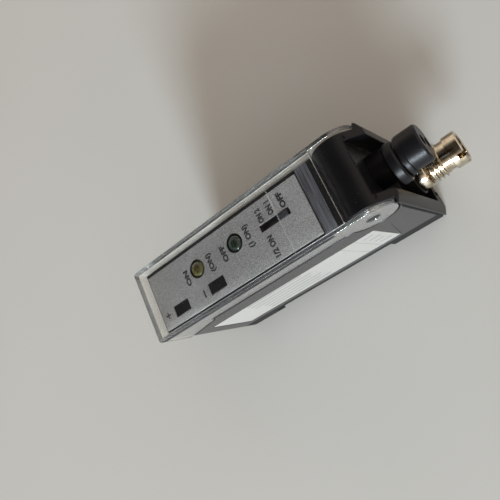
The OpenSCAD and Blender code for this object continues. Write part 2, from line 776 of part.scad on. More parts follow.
// Coil spring between the latch and the stop of the case
module latch_spring() color([0.75, 0.75, 0.75]) place() {
    sides = 6;
    steps = 12 * spring_turns;
    wire_r = spring_wire / 2;
    length = stop_rear - stop_l - pocket_front - 2 * (wire_r + seat_gap);
    coil_r = spring_d / 2 - wire_r;
    points = [
        for (i = [0 : steps], j = [0 : sides - 1])
            let (turn = 360 * spring_turns * i / steps, a = 360 * j / sides, r = coil_r + wire_r * cos(a))
                [length * i / steps + wire_r * sin(a), r * cos(turn), r * sin(turn)]
    ];
    skin = [
        for (i = [0 : steps - 1], j = [0 : sides - 1])
            let (a = i * sides + j, b = i * sides + (j + 1) % sides) [a, b, b + sides, a + sides]
    ];
    first = [for (j = [0 : sides - 1]) sides - 1 - j];
    last = [for (j = [0 : sides - 1]) steps * sides + j];
    translate([pocket_front + wire_r + seat_gap, 0, spring_z])
        polyhedron(points, concat(skin, [first, last]));
}

main_case();
side_cover();
side_label();
dust_cover();
control_panel();
green_led();
yellow_led();
plus_button();
minus_button();
mode_knob();
light_guide_bush();
bush_seal();
connector_sleeve();
connector_insert();
contact_pins();
connector_seal();
connector_leads();
optical_block();
emitter_diode();
receiver_diode();
control_board();
main_board();
board_link();
board_components();
shield_can();
tact_switches();
switch_domes();
mode_switch();
rail_latch();
latch_spring();
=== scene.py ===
"""Looks of the rail-mounted optical proximity sensor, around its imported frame."""
import json
import math

import bmesh
import bpy
from mathutils import Matrix, Vector

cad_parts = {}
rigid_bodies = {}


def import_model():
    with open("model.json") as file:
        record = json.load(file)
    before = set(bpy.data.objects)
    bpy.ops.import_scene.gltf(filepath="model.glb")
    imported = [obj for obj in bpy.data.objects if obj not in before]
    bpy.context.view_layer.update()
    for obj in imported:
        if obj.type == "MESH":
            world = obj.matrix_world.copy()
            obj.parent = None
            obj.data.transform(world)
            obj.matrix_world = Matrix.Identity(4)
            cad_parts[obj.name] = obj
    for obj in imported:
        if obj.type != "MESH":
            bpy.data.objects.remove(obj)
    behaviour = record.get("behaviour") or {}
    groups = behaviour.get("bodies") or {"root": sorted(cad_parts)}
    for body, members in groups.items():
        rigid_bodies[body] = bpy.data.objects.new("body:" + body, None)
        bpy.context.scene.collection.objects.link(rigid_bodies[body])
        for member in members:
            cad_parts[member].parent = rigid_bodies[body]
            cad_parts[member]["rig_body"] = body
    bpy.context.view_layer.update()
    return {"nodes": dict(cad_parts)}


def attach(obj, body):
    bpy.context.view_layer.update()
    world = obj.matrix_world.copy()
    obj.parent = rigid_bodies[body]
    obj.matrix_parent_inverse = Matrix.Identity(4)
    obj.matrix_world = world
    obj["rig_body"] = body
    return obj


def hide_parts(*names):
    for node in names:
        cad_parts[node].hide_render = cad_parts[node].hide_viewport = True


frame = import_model()
nodes = frame["nodes"]

MM = 0.001
# Distance of the frame's origin from the case's front face, in millimetres like the places below
MID_X = 35.9
# A plane just inside the case's side faces
SIDE_Y = 8.5
# Heights of the deck, the plug's axis and the top of the matt strip along the side's lower edge
DECK_Z, PLUG_Z, STRIP_Z = 35, 11.0, 5.6
# Rear edge of the side cover, and the case's edge on the other side of the seam
COVER_REAR, SEAM_EDGE = 60.7, 60.85
# Edges that turn by more than this are rounded, in degrees
BEVEL_ANGLE = 28


def at(x, y, z):
    """A point given in millimetres, with x from the case's front face, in metres of the frame."""
    return Vector(((x - MID_X) * MM, y * MM, z * MM))


# Camera
camera = bpy.data.objects.new("camera", bpy.data.cameras.new("camera"))
bpy.context.scene.collection.objects.link(camera)
camera.data.lens = 39.67
camera.data.sensor_width = 36
camera.data.clip_start = 0.005
camera.matrix_world = Matrix((
    (0.72926, 0.48887, 0.47872, 0.04925),
    (-0.39984, 0.87224, -0.28165, -0.03408),
    (-0.55525, 0.01398, 0.83156, 0.1323),
    (0, 0, 0, 1),
))
bpy.context.scene.camera = camera
bpy.context.scene.view_settings.view_transform = "Standard"


# Materials
class Look:
    """A procedural material, built up from textures in the piece's own metres."""

    def __init__(self, name):
        self.material = bpy.data.materials.new(name)
        self.material.use_nodes = True
        self.tree = self.material.node_tree
        self.surface = self.tree.nodes["Principled BSDF"]
        self.place = self.add("ShaderNodeTexCoord").outputs["Object"]

    def add(self, kind, **values):
        node = self.tree.nodes.new(kind)
        for key, value in values.items():
            setattr(node, key, value)
        return node

    def link(self, source, target):
        self.tree.links.new(source, target)

    def set(self, **values):
        """Sets or links sockets of the surface by name."""
        for key, value in values.items():
            socket = self.surface.inputs[key.replace("_", " ").title().replace("Ior", "IOR")]
            if isinstance(value, bpy.types.NodeSocket):
                self.link(value, socket)
            else:
                socket.default_value = value

    def stretched(self, scale):
        mapping = self.add("ShaderNodeMapping")
        mapping.inputs["Scale"].default_value = scale
        self.link(self.place, mapping.inputs["Vector"])
        return mapping.outputs["Vector"]

    def noise(self, size_mm, detail=2.0, stretch=None):
        """Soft noise whose patches are about size_mm across."""
        node = self.add("ShaderNodeTexNoise")
        node.inputs["Scale"].default_value = 1 / (size_mm * MM)
        node.inputs["Detail"].default_value = detail
        self.link(self.stretched(stretch) if stretch else self.place, node.inputs["Vector"])
        return node.outputs["Fac"]

    def cells(self, size_mm):
        """Distance from the middles of cells about size_mm across."""
        node = self.add("ShaderNodeTexVoronoi", feature="F1")
        node.inputs["Scale"].default_value = 1 / (size_mm * MM)
        self.link(self.place, node.inputs["Vector"])
        return node.outputs["Distance"]

    def span(self, value, low, high, to_low, to_high):
        """Maps a value from one range to another, held at both ends."""
        node = self.add("ShaderNodeMapRange", clamp=True)
        self.link(value, node.inputs["Value"])
        for key, number in zip(("From Min", "From Max", "To Min", "To Max"), (low, high, to_low, to_high)):
            node.inputs[key].default_value = number
        return node.outputs["Result"]

    def blend(self, share, first, second):
        """Mixes two colours."""
        node = self.add("ShaderNodeMix", data_type="RGBA")
        self.link(share, node.inputs["Factor"])
        for key, colour in (("A", first), ("B", second)):
            socket = [s for s in node.inputs if s.name == key and s.type == "RGBA"][0]
            if isinstance(colour, bpy.types.NodeSocket):
                self.link(colour, socket)
            else:
                socket.default_value = (*colour, 1)
        return [s for s in node.outputs if s.type == "RGBA"][0]

    def joined(self, first, second, operation):
        """Joins two values by a sum or a product."""
        node = self.add("ShaderNodeMath", operation=operation)
        for socket, value in zip(node.inputs, (first, second)):
            if isinstance(value, bpy.types.NodeSocket):
                self.link(value, socket)
            else:
                socket.default_value = value
        return node.outputs["Value"]

    def bump(self, height, depth_mm, strength=1.0):
        node = self.add("ShaderNodeBump")
        node.inputs["Strength"].default_value = strength
        node.inputs["Distance"].default_value = depth_mm * MM
        self.link(height, node.inputs["Height"])
        self.link(node.outputs["Normal"], self.surface.inputs["Normal"])


def moulded(name, dark, light, rough, grain_mm=0.16, depth_mm=0.012, specular=0.35, specks=True):
    """Moulded plastic: eroded grain, slight mottling and a few specks of dust."""
    look = Look(name)
    grain = look.noise(grain_mm, 3)
    mottle = look.span(look.noise(6, 3), 0.35, 0.68, 0, 1)
    colour = look.blend(mottle, dark, light)
    if specks:
        dust = look.span(look.cells(1.3), 0.045, 0.03, 0, 0.5)
        sparse = look.span(look.noise(4, 1), 0.56, 0.6, 0, 1)
        colour = look.blend(look.joined(dust, sparse, "MULTIPLY"), colour, (0.32, 0.31, 0.3))
    look.set(base_color=colour, roughness=look.span(grain, 0.3, 0.7, rough - 0.07, rough + 0.07))
    look.set(specular_ior_level=specular)
    look.bump(grain, depth_mm)
    return look.material


def metal(name, dark, light, rough, streak=(1, 1, 1)):
    """Plated or drawn metal with fine turning marks and a faint tarnish."""
    look = Look(name)
    marks = look.noise(0.4, 4, streak)
    tarnish = look.span(look.noise(1.6, 3), 0.4, 0.7, 0, 1)
    look.set(base_color=look.blend(tarnish, light, dark), metallic=1.0)
    look.set(roughness=look.span(marks, 0.3, 0.7, rough - 0.05, rough + 0.08))
    look.bump(marks, 0.004)
    return look.material


def clear_plastic(name, clearness, tint, faded, rough, ior=1.57):
    """Polished clear plastic with faint scuffs, which lets the lamp's light through."""
    look = Look(name)
    scuff = look.noise(0.5, 4, (1, 8, 1))
    haze = look.span(look.noise(9, 3), 0.45, 0.75, 0, 1)
    look.set(base_color=look.blend(haze, tint, faded))
    look.set(transmission_weight=clearness, ior=ior)
    look.set(roughness=look.span(scuff, 0.5, 0.8, rough, rough + 0.045))
    look.bump(look.noise(4, 1), 0.01, 0.4)
    passing = look.add("ShaderNodeBsdfTransparent")
    passing.inputs["Color"].default_value = (0.95, 0.955, 0.95, 1)
    path = look.add("ShaderNodeLightPath")
    mix = look.add("ShaderNodeMixShader")
    look.link(path.outputs["Is Shadow Ray"], mix.inputs["Fac"])
    look.link(look.surface.outputs["BSDF"], mix.inputs[1])
    look.link(passing.outputs["BSDF"], mix.inputs[2])
    look.link(mix.outputs["Shader"], look.tree.nodes["Material Output"].inputs["Surface"])
    return look.material


def tinted_lens(name, deep, pale):
    """Tinted resin of an indicator or a diode, cloudy in places."""
    look = Look(name)
    cloud = look.span(look.noise(0.9, 3), 0.35, 0.65, 0, 1)
    look.set(base_color=look.blend(cloud, deep, pale), transmission_weight=0.1, specular_ior_level=0.5)
    look.set(roughness=look.span(look.noise(0.2, 2), 0.3, 0.7, 0.04, 0.09))
    return look.material


def printed_film(name, dark, light, speck_mm, rough, metallic=0.0):
    """Printed film with a fine speckle and broad, faint shading."""
    look = Look(name)
    speck = look.noise(speck_mm, 4)
    broad = look.noise(14, 2)
    fine, coarse = look.joined(speck, 0.8, "MULTIPLY"), look.joined(broad, 0.2, "MULTIPLY")
    mixed = look.joined(fine, coarse, "ADD")
    look.set(base_color=look.blend(look.span(mixed, 0.36, 0.64, 0, 1), dark, light), metallic=metallic)
    look.set(roughness=look.span(speck, 0.3, 0.7, rough - 0.06, rough + 0.08))
    look.bump(speck, 0.004)
    return look.material


def drawn_plastic(name, dark, light, rough, stretch):
    """Satin plastic with fine drawn streaks."""
    look = Look(name)
    streak = look.noise(0.9, 3, stretch)
    look.set(base_color=look.blend(look.span(streak, 0.35, 0.68, 0, 1), dark, light))
    look.set(roughness=look.span(look.noise(0.2, 2), 0.3, 0.7, rough - 0.05, rough + 0.08))
    look.set(specular_ior_level=0.3)
    look.bump(streak, 0.02)
    return look.material


def ink(name, colour, worn):
    """Printing ink, thin in places."""
    look = Look(name)
    look.set(base_color=look.blend(look.span(look.noise(0.25, 3), 0.45, 0.75, 0, 1), colour, worn))
    look.set(roughness=look.span(look.noise(0.15, 2), 0.3, 0.7, 0.4, 0.6))
    return look.material


def board_film(name):
    """Lacquered laminate with a faint woven pattern under the lacquer."""
    look = Look(name)
    weave = look.add("ShaderNodeTexBrick")
    weave.inputs["Scale"].default_value = 900
    weave.inputs["Color1"].default_value = (0.012, 0.085, 0.04, 1)
    weave.inputs["Color2"].default_value = (0.015, 0.105, 0.05, 1)
    weave.inputs["Mortar"].default_value = (0.03, 0.16, 0.08, 1)
    look.link(look.place, weave.inputs["Vector"])
    look.set(base_color=weave.outputs["Color"], coat_weight=0.3)
    look.set(roughness=look.span(look.noise(0.5, 3), 0.3, 0.7, 0.3, 0.42))
    return look.material


case_look = moulded("case_plastic", (0.004, 0.004, 0.0045), (0.006, 0.006, 0.007), 0.33, specular=0.2)
side_look = moulded("side_plastic", (0.006, 0.006, 0.0065), (0.009, 0.009, 0.0095), 0.24,
                    depth_mm=0.004, specular=0.5)
low_look = moulded("side_edge_plastic", (0.006, 0.006, 0.007), (0.01, 0.01, 0.011), 0.4,
                   depth_mm=0.01, specular=0.06)
port_look = moulded("port_plastic", (0.0045, 0.0045, 0.0055), (0.008, 0.008, 0.0095), 0.34,
                    specular=0.18, specks=False)
key_look = moulded("key_plastic", (0.003, 0.003, 0.003), (0.005, 0.005, 0.005), 0.45,
                   0.12, specular=0.2, specks=False)
deck_look = drawn_plastic("deck_satin", (0.03, 0.029, 0.032), (0.1, 0.097, 0.105), 0.4, (3.5, 0.12, 1))
knob_look = moulded("knob_plastic", (0.02, 0.02, 0.022), (0.03, 0.03, 0.033), 0.3,
                    0.12, specular=0.5, specks=False)
rubber_look = moulded("seal_rubber", (0.006, 0.006, 0.006), (0.012, 0.012, 0.012), 0.7, specks=False)
part_look = moulded("component_plastic", (0.014, 0.014, 0.014), (0.024, 0.024, 0.025), 0.5, specks=False)
clear_look = clear_plastic("clear_polycarbonate", 1.0, (0.985, 0.99, 0.985), (0.95, 0.955, 0.95), 0.015)
# Hazy copy of the clear plastic for the walls: its haze is painted light, standing for the light the clear
# walls gather along their edges
wall_painted_light_look = clear_plastic("clear_walls_painted_light", 0.955, (0.90, 0.885, 0.85), (0.83, 0.815, 0.78), 0.07)
# Dark copy of the clear plastic: painted dark reflection, standing for the dark case seen through the near
# wall
painted_band_look = clear_plastic("clear_painted_dark_band", 0.5, (0.026, 0.024, 0.03), (0.02, 0.018, 0.024), 0.12, 1.08)
# Paler copy of the clear plastic: a painted highlight along the lid's line
line_highlight_look = clear_plastic("clear_line_painted_highlight", 0.87, (0.95, 0.94, 0.92), (0.9, 0.89, 0.87), 0.06)
# Paler, cloudier copy of the clear plastic: painted light, standing for the bright floor seen through the
# front and far walls
front_painted_light_look = clear_plastic("clear_front_painted_light", 0.9, (0.95, 0.94, 0.91), (0.88, 0.87, 0.84), 0.1)
# Dark copy of the clear plastic: painted shade for the gap under the cover's lower rims
rim_shade_look = clear_plastic("clear_rims_painted_shade", 0.5, (0.06, 0.065, 0.065), (0.03, 0.035, 0.035), 0.1)
panel_look = printed_film("silver_film", (0.13, 0.122, 0.117), (0.35, 0.331, 0.319), 0.22, 0.42, 0.25)
label_look = printed_film("label_film", (0.325, 0.314, 0.292), (0.39, 0.378, 0.352), 0.5, 0.4)
ink_look = ink("panel_ink", (0.005, 0.005, 0.006), (0.016, 0.016, 0.016))
label_ink_look = ink("label_ink", (0.14, 0.15, 0.15), (0.26, 0.27, 0.27))
green_look = tinted_lens("green_resin", (0.003, 0.010, 0.007), (0.008, 0.020, 0.014))
yellow_look = tinted_lens("yellow_resin", (0.022, 0.019, 0.004), (0.07, 0.06, 0.014))
nickel_look = metal("nickel_plate", (0.32, 0.25, 0.16), (0.6, 0.53, 0.42), 0.14, (6, 1, 1))
brass_look = metal("contact_plate", (0.62, 0.42, 0.14), (0.82, 0.62, 0.26), 0.2)
tin_look = metal("tin_plate", (0.42, 0.42, 0.41), (0.6, 0.6, 0.58), 0.32)
steel_look = metal("spring_wire", (0.35, 0.35, 0.36), (0.55, 0.55, 0.55), 0.25)
jacket_look = moulded("lead_jacket", (0.34, 0.12, 0.04), (0.46, 0.18, 0.06), 0.45, specks=False)
red_look = tinted_lens("emitter_resin", (0.3, 0.05, 0.05), (0.45, 0.1, 0.1))
smoke_look = tinted_lens("receiver_resin", (0.02, 0.02, 0.04), (0.05, 0.05, 0.08))
board_look = board_film("board_laminate")


# Pieces
def piece(name, mesh, look, body, replaced=()):
    """Adds a piece that rides on a body, with its look and the nodes it stands for."""
    obj = bpy.data.objects.new(name, mesh)
    bpy.context.scene.collection.objects.link(obj)
    mesh.materials.clear()
    mesh.materials.append(look)
    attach(obj, body)
    if replaced:
        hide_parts(*replaced)
    return obj


def finished(obj, sharp=35):
    """Applies the modifiers of a piece and smooths its shading between the sharp edges."""
    for weighted in (False, True):
        if weighted:
            obj.modifiers.new("flats", "WEIGHTED_NORMAL").keep_sharp = True
        depsgraph = bpy.context.evaluated_depsgraph_get()
        mesh = bpy.data.meshes.new_from_object(obj.evaluated_get(depsgraph))
        obj.modifiers.clear()
        obj.data = mesh
        if not weighted:
            mesh.shade_smooth()
            mesh.set_sharp_from_angle(angle=math.radians(sharp))
    return obj


def clean_copy(name):
    """The mesh of a node with its flat faces joined up."""
    mesh = nodes[name].data.copy()
    work = bmesh.new()
    work.from_mesh(mesh)
    bmesh.ops.remove_doubles(work, verts=work.verts, dist=0.002 * MM)
    bmesh.ops.dissolve_limit(work, angle_limit=math.radians(0.4), verts=work.verts, edges=work.edges)
    work.to_mesh(mesh)
    work.free()
    if mesh.has_custom_normals:
        mesh.normals_split_custom_set([(0, 0, 0)] * len(mesh.loops))
    return mesh


def bevelled(name, look, width, segments=3, shape=None, wide=None, held=False):
    """A copy of a node with rounded edges, standing for that node. shape changes the mesh first.
    wide takes an edge's two ends in millimetres and gives its width, or None for the usual one.
    held keeps the rounds from crossing each other."""
    mesh = clean_copy(name)
    work = bmesh.new()
    work.from_mesh(mesh)
    if shape:
        shape(work)
    weight = work.edges.layers.float.new("bevel_weight_edge")
    rounds = {}
    for edge in work.edges:
        if edge.is_manifold and edge.calc_face_angle() > math.radians(BEVEL_ANGLE):
            a, b = (v.co / MM + Vector((MID_X, 0, 0)) for v in edge.verts)
            rounds[edge] = wide and wide(a, b) or width
    largest = max(rounds.values())
    for edge, size in rounds.items():
        edge[weight] = size / largest
    work.to_mesh(mesh)
    work.free()
    obj = piece(name + "_look", mesh, look, nodes[name]["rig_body"], [name])
    bevel = obj.modifiers.new("edges", "BEVEL")
    bevel.width = largest * MM
    bevel.segments = segments
    bevel.limit_method = "WEIGHT"
    bevel.use_clamp_overlap = held
    bevel.miter_outer = "MITER_ARC"
    return finished(obj)


def split(work, point, direction):
    """Cuts the faces of a mesh along a plane."""
    everything = work.verts[:] + work.edges[:] + work.faces[:]
    bmesh.ops.bisect_plane(work, geom=everything, plane_co=point, plane_no=direction)


def near(value, target, slack=0.06):
    """Whether a value lies within some slack of a target."""
    return abs(value - target) < slack


def case_edges(a, b):
    """Wider rounds on the case: the near cheek's top, the base and the seam."""
    cheek_z, cheek_x = 33.3, 61
    mid = (a + b) / 2
    across = mid.y < 0 and abs(a.y - b.y) > 0.5
    if near(a.z, cheek_z, 0.9) and near(b.z, cheek_z, 0.9) and mid.x > cheek_x and across:
        return 0.6
    if near(a.z, 0) and near(b.z, 0) and (abs(mid.y) > SIDE_Y or mid.x < 0.5):
        return 0.45
    if near(a.x, SEAM_EDGE) and near(b.x, SEAM_EDGE) and mid.y < -SIDE_Y:
        return 0.5


def side_edges(a, b):
    """Rounds on the side cover: its rear edge and its lower edge."""
    foot_z = 3.3
    mid = (a + b) / 2
    if near(a.x, COVER_REAR) and near(b.x, COVER_REAR):
        return 1.1 if near(mid.z, 0, 0.3) else 0.5 if mid.y < -SIDE_Y else None
    if mid.z < foot_z and mid.y < -SIDE_Y:
        return 0.2


def label_edges(a, b):
    """Rounds the label's corners, most of all the lower one at the front."""
    front_x, low_z = 4.6, 7.7
    if abs(a.y - b.y) > 0.1:
        return 2.0 if near(a.x, front_x) and near(a.z, low_z) else 0.3


def dished(depth, rim):
    """Sinks the middle of a button's top face."""
    def shape(work):
        top = max((f for f in work.faces if f.normal.z > 0.99), key=lambda f: f.calc_center_median().z)
        bmesh.ops.inset_region(work, faces=[top], thickness=rim * MM)
        for vert in top.verts:
            vert.co.z -= depth * MM
    return shape


def parted(obj, look, chosen):
    """Gives some faces of a piece another look.
    chosen takes a face's middle in millimetres and its normal."""
    index = len(obj.data.materials)
    obj.data.materials.append(look)
    for polygon in obj.data.polygons:
        if chosen(polygon.center / MM + Vector((MID_X, 0, 0)), polygon.normal):
            polygon.material_index = index


def deck_split(work):
    """Cuts the deck along both edges of its satin strip."""
    for x in (46.3, 49.2):
        split(work, at(x, 0, DECK_Z), (1, 0, 0))


def side_split(work):
    """Cuts the side cover along the top of its matt strip."""
    split(work, at(0, 0, STRIP_Z), (0, 0, 1))


case = bevelled("main_case", case_look, 0.22, wide=case_edges, shape=deck_split)
parted(case, deck_look, lambda c, n: n.z > 0.97 and near(c.z, DECK_Z, 0.2) and 45.5 < c.x < 49.25)
side = bevelled("side_cover", side_look, 0.16, wide=side_edges, shape=side_split)
for obj in (side, case):
    parted(obj, low_look, lambda c, n: c.z < STRIP_Z + 0.1 and n.y < -0.5)
parted(side, low_look, lambda c, n: n.x > 0.2 and near(c.x, COVER_REAR - 0.3, 0.5) and c.y < -8.3)
parted(case, low_look, lambda c, n: n.x < -0.2 and near(c.x, SEAM_EDGE + 0.25, 0.5) and c.y < -8.3)


def cover():
    """The clear cover: a clear top with a faint line across it painted pale as a highlight, walls whose haze
    is painted light, a front and far wall painted paler for the bright floor seen through them, lower rims
    painted dark as the shade in the gap under them, and bands painted dark along the near wall for the dark
    case seen through it."""
    inner_z, sunk_z, corner_z = 37.45, 37.34, 37.3
    inner_y, inner_x = 8.1, -0.3
    # Heights and ends of the bands painted dark on the near wall for the dark case seen through it
    painted_band_low, painted_band_high = 32.75, 36.75
    painted_band_front, painted_band_rear = 11, 48.5
    line_x, line_z = 39.69, 37.32

    def shape(work):
        for vert in work.verts:
            if near(vert.co.z, inner_z * MM, 0.03 * MM):
                vert.co.z = sunk_z * MM
        for level in (painted_band_low, painted_band_high):
            split(work, at(0, 0, level), (0, 0, 1))
        for x in (painted_band_front, painted_band_rear):
            split(work, at(x, 0, 0), (1, 0, 0))

    def widths(a, b):
        mid = (a + b) / 2
        if near(mid.z, corner_z) and (near(abs(mid.y), inner_y) or near(mid.x, inner_x)):
            return 0.25
        if near(mid.z, corner_z, 0.08):
            return 0.02

    # Faces of the front and far walls that get the paler copy: painted light for the floor seen through them
    def pale(c, n):
        return (c.x < 0.2 or n.y > 0.3 and c.y > SIDE_Y and c.x < 50) and abs(n.z) < 0.97

    def upper_painted_band(c, n):
        return n.y < -0.8 and c.y < -SIDE_Y and c.z > painted_band_high - 0.05 and 1 < c.x < painted_band_rear

    def lower_painted_band(c, n):
        return n.y < -0.3 and c.y < -SIDE_Y and c.z < painted_band_low + 0.05 and painted_band_front < c.x < painted_band_rear

    obj = bevelled("dust_cover", clear_look, 0.24, 4, shape=shape, wide=widths)
    # Walls and low faces get the hazy copy: painted light for the light gathered along the clear walls
    parted(obj, wall_painted_light_look, lambda c, n: abs(n.z) <= 0.97 or c.z <= 36.5)
    # Lower rims painted dark, for the shade in the gap beneath them
    parted(obj, rim_shade_look, lambda c, n: n.z < -0.5 and c.z < DECK_Z)
    # Front and far walls painted paler, for the bright floor seen through them
    parted(obj, front_painted_light_look, pale)
    # Bands painted dark along the near wall, for the dark case seen through it
    parted(obj, painted_band_look, upper_painted_band)
    parted(obj, painted_band_look, lower_painted_band)
    # The lid's line painted pale: a painted highlight for the light it catches
    parted(obj, line_highlight_look, lambda c, n: near(c.x, line_x, 0.4) and near(c.z, line_z, 0.04))


cover()
bevelled("light_guide_bush", port_look, 0.14, held=True)
bevelled("rail_latch", case_look, 0.12, 2)
for name in ("plus_button", "minus_button"):
    bevelled(name, key_look, 0.14, 3, shape=dished(0.14, 0.45))
bevelled("mode_knob", knob_look, 0.1, 2)
bevelled("control_panel", panel_look, 0.05, 2)
bevelled("side_label", label_look, 0.04, 4, wide=label_edges)


def lathe(profile, turn, centre):
    """A closed turned shape. The profile gives (radius, distance).
    turn maps them at an angle to a point."""
    sides = 72
    mesh = bpy.data.meshes.new("turned")
    verts, faces = [], []
    for i in range(sides):
        angle = 2 * math.pi * i / sides
        verts += [centre + turn(radius, distance, angle) for radius, distance in profile]
    count = len(profile)
    for i in range(sides):
        for j in range(count - 1):
            a, b = i * count + j, (i + 1) % sides * count + j
            faces.append((a, b, b + 1, a + 1))
    mesh.from_pydata(verts, [], faces)
    work = bmesh.new()
    work.from_mesh(mesh)
    bmesh.ops.remove_doubles(work, verts=work.verts, dist=0.0005 * MM)
    bmesh.ops.recalc_face_normals(work, faces=work.faces)
    work.to_mesh(mesh)
    work.free()
    return mesh


def upright(radius, distance, angle):
    """A point of a shape turned about Z."""
    return Vector((radius * math.cos(angle), radius * math.sin(angle), distance)) * MM


def indicator(name, x, look):
    """An indicator's round lens on its foot, with a small reflector cup inside."""
    board, dome_low, dome_top = 28.0, 34.1, 35.95
    radius, foot = 2.0, 2.4
    steps, sharp = 16, 40
    centre = at(x, 1.95, 0)
    profile = [(0, board), (foot, board), (foot, board + 0.9), (foot - 0.1, board + 1), (radius, board + 1)]
    for i in range(steps + 1):
        angle = math.pi / 2 * i / steps
        profile.append((radius * math.cos(angle), dome_low + (dome_top - dome_low) * math.sin(angle)))
    lens = lathe(profile, upright, centre)
    finished(piece(name + "_look", lens, look, "case", [name]), sharp)
    cup = [(0, 34.2), (0.35, 34.2), (0.8, 34.75), (0.95, 34.75), (0.95, 33.9), (0, 33.9)]
    finished(piece(name + "_cup", lathe(cup, upright, centre), tin_look, "case"), sharp)


indicator("green_led", 26.63, green_look)
indicator("yellow_led", 14.93, yellow_look)


def sleeve():
    """The plug's sleeve with a true helical thread and a notch in its nose."""
    start = 61.8
    sides, steps = 120, 90
    pitch, root, crest, run_out = 1.0, 3.45, 4.0, 0.45
    collar, thread_end, nose, end = 2.5, 6.7, 8.2, 11.2
    shank_back, bore_r, shank_r, collar_r, groove_r, nose_r = -5, 2.8, 3.2, 4.3, 3.35, 3.8

    def arc(x, r, dx, dr, turn_first):
        """Rounds the corner at (x, r): from dx away along the axis to dr away across it, or the other way."""
        points = []
        for i in range(5):
            a = math.pi / 2 * i / 4
            u, v = (1 - math.sin(a), 1 - math.cos(a)) if turn_first else (1 - math.cos(a), 1 - math.sin(a))
            points.append((x + dx * u, r + dr * v, 0))
        return points

    # Rings of the section: distance along the axis, radius, and whether the thread lifts it
    rings = [(shank_back, bore_r, 0), (shank_back, shank_r, 0), (0, shank_r, 0)]
    rings += [(0, 3.9, 0)] + arc(0, collar_r, 0.2, -0.2, False)
    rings += arc(collar, collar_r, -0.3, -0.3, True)
    rings += [(collar, root, 0)]
    for i in range(steps + 1):
        rings.append((collar + (thread_end - collar) * i / steps, root, 1))
    rings += [(thread_end, groove_r, 0), (nose, groove_r, 0), (nose, 3.6, 0)]
    rings += arc(nose, nose_r, 0.18, -0.18, False)
    rings += arc(end, nose_r, -0.32, -0.32, True)
    rings += [(end, 3.05, 0)] + [(end - 0.2 * s, bore_r + 0.25 * (1 - s), 0) for s in (0.35, 0.75, 1)]
    verts, faces = [], []
    for i in range(sides):
        angle = 2 * math.pi * i / sides
        for x, r, threaded in rings:
            if threaded:
                phase = ((x - collar) / pitch - angle / (2 * math.pi)) % 1
                wave = min(max((0.34 - abs(phase - 0.5)) / 0.26, 0), 1)
                fade = min((x - collar) / run_out, (thread_end - x) / run_out, 1)
                r = root + (crest - root) * wave * max(fade, 0)
            verts.append(at(start + x, r * math.sin(angle), PLUG_Z + r * math.cos(angle)))
    count = len(rings)
    for i in range(sides):
        for j in range(count):
            a, b = i * count, (i + 1) % sides * count
            k = (j + 1) % count
            faces.append((a + j, a + k, b + k, b + j))
    mesh = bpy.data.meshes.new("sleeve")
    mesh.from_pydata(verts, [], faces)
    work = bmesh.new()
    work.from_mesh(mesh)
    bmesh.ops.recalc_face_normals(work, faces=work.faces)
    work.to_mesh(mesh)
    work.free()
    obj = piece("connector_sleeve_look", mesh, nickel_look, "case", ["connector_sleeve"])
    cutter_mesh = bpy.data.meshes.new("notch")
    work = bmesh.new()
    bmesh.ops.create_cube(work, size=1)
    tilt = Matrix.Rotation(math.radians(40), 4, "X")
    sized = Matrix.Diagonal((2.6 * MM, 1.2 * MM, 4 * MM, 1))
    centre = Matrix.Translation(at(start + end - 0.3, 0, PLUG_Z))
    outwards = Matrix.Translation((0, 0, 3.3 * MM))
    bmesh.ops.transform(work, matrix=centre @ tilt @ outwards @ sized, verts=work.verts)
    work.to_mesh(cutter_mesh)
    work.free()
    cutter = bpy.data.objects.new("notch", cutter_mesh)
    bpy.context.scene.collection.objects.link(cutter)
    cut = obj.modifiers.new("notch", "BOOLEAN")
    cut.operation = "DIFFERENCE"
    cut.solver = "EXACT"
    cut.object = cutter
    finished(obj, 32)
    bpy.data.objects.remove(cutter)


sleeve()

# Looks of the pieces that stay as they are in the frame
for look, names in (
    (rubber_look, ("bush_seal", "connector_seal")),
    (port_look, ("connector_insert", "optical_block")),
    (brass_look, ("contact_pins",)),
    (jacket_look, ("connector_leads",)),
    (red_look, ("emitter_diode",)),
    (smoke_look, ("receiver_diode",)),
    (board_look, ("control_board", "main_board")),
    (part_look, ("board_link", "board_components", "tact_switches", "mode_switch")),
    (tin_look, ("shield_can", "switch_domes")),
    (steel_look, ("latch_spring",)),
):
    for name in names:
        nodes[name].data.materials.clear()
        nodes[name].data.materials.append(look)


# Printed marks
INK_LOW, INK_HIGH = 35.252, 35.26


def mark(name, text, x, y0, y1):
    """A word on the panel that reads along +Y, between two places across the panel."""
    cap, font_cap = 1.35, 0.76
    curve = bpy.data.curves.new(name, "FONT")
    curve.body = text
    curve.align_x = "CENTER"
    curve.size = 1.0
    curve.resolution_u = 3
    curve.extrude = 0.004
    curve.offset = 0.055
    scratch = bpy.data.objects.new(name + "_curve", curve)
    bpy.context.scene.collection.objects.link(scratch)
    depsgraph = bpy.context.evaluated_depsgraph_get()
    mesh = bpy.data.meshes.new_from_object(scratch.evaluated_get(depsgraph))
    bpy.data.objects.remove(scratch)
    xs = [v.co.x for v in mesh.vertices]
    ys = [v.co.y for v in mesh.vertices]
    along = (y1 - y0) * MM / (max(xs) - min(xs))
    up = cap * MM / font_cap
    mid_x, mid_y = (max(xs) + min(xs)) / 2, (max(ys) + min(ys)) / 2
    place = at(x, (y0 + y1) / 2, (INK_LOW + INK_HIGH) / 2)
    for vert in mesh.vertices:
        u, v, w = vert.co
        vert.co = place + Vector((-(v - mid_y) * up, (u - mid_x) * along, w * MM))
    piece(name, mesh, ink_look, "case")


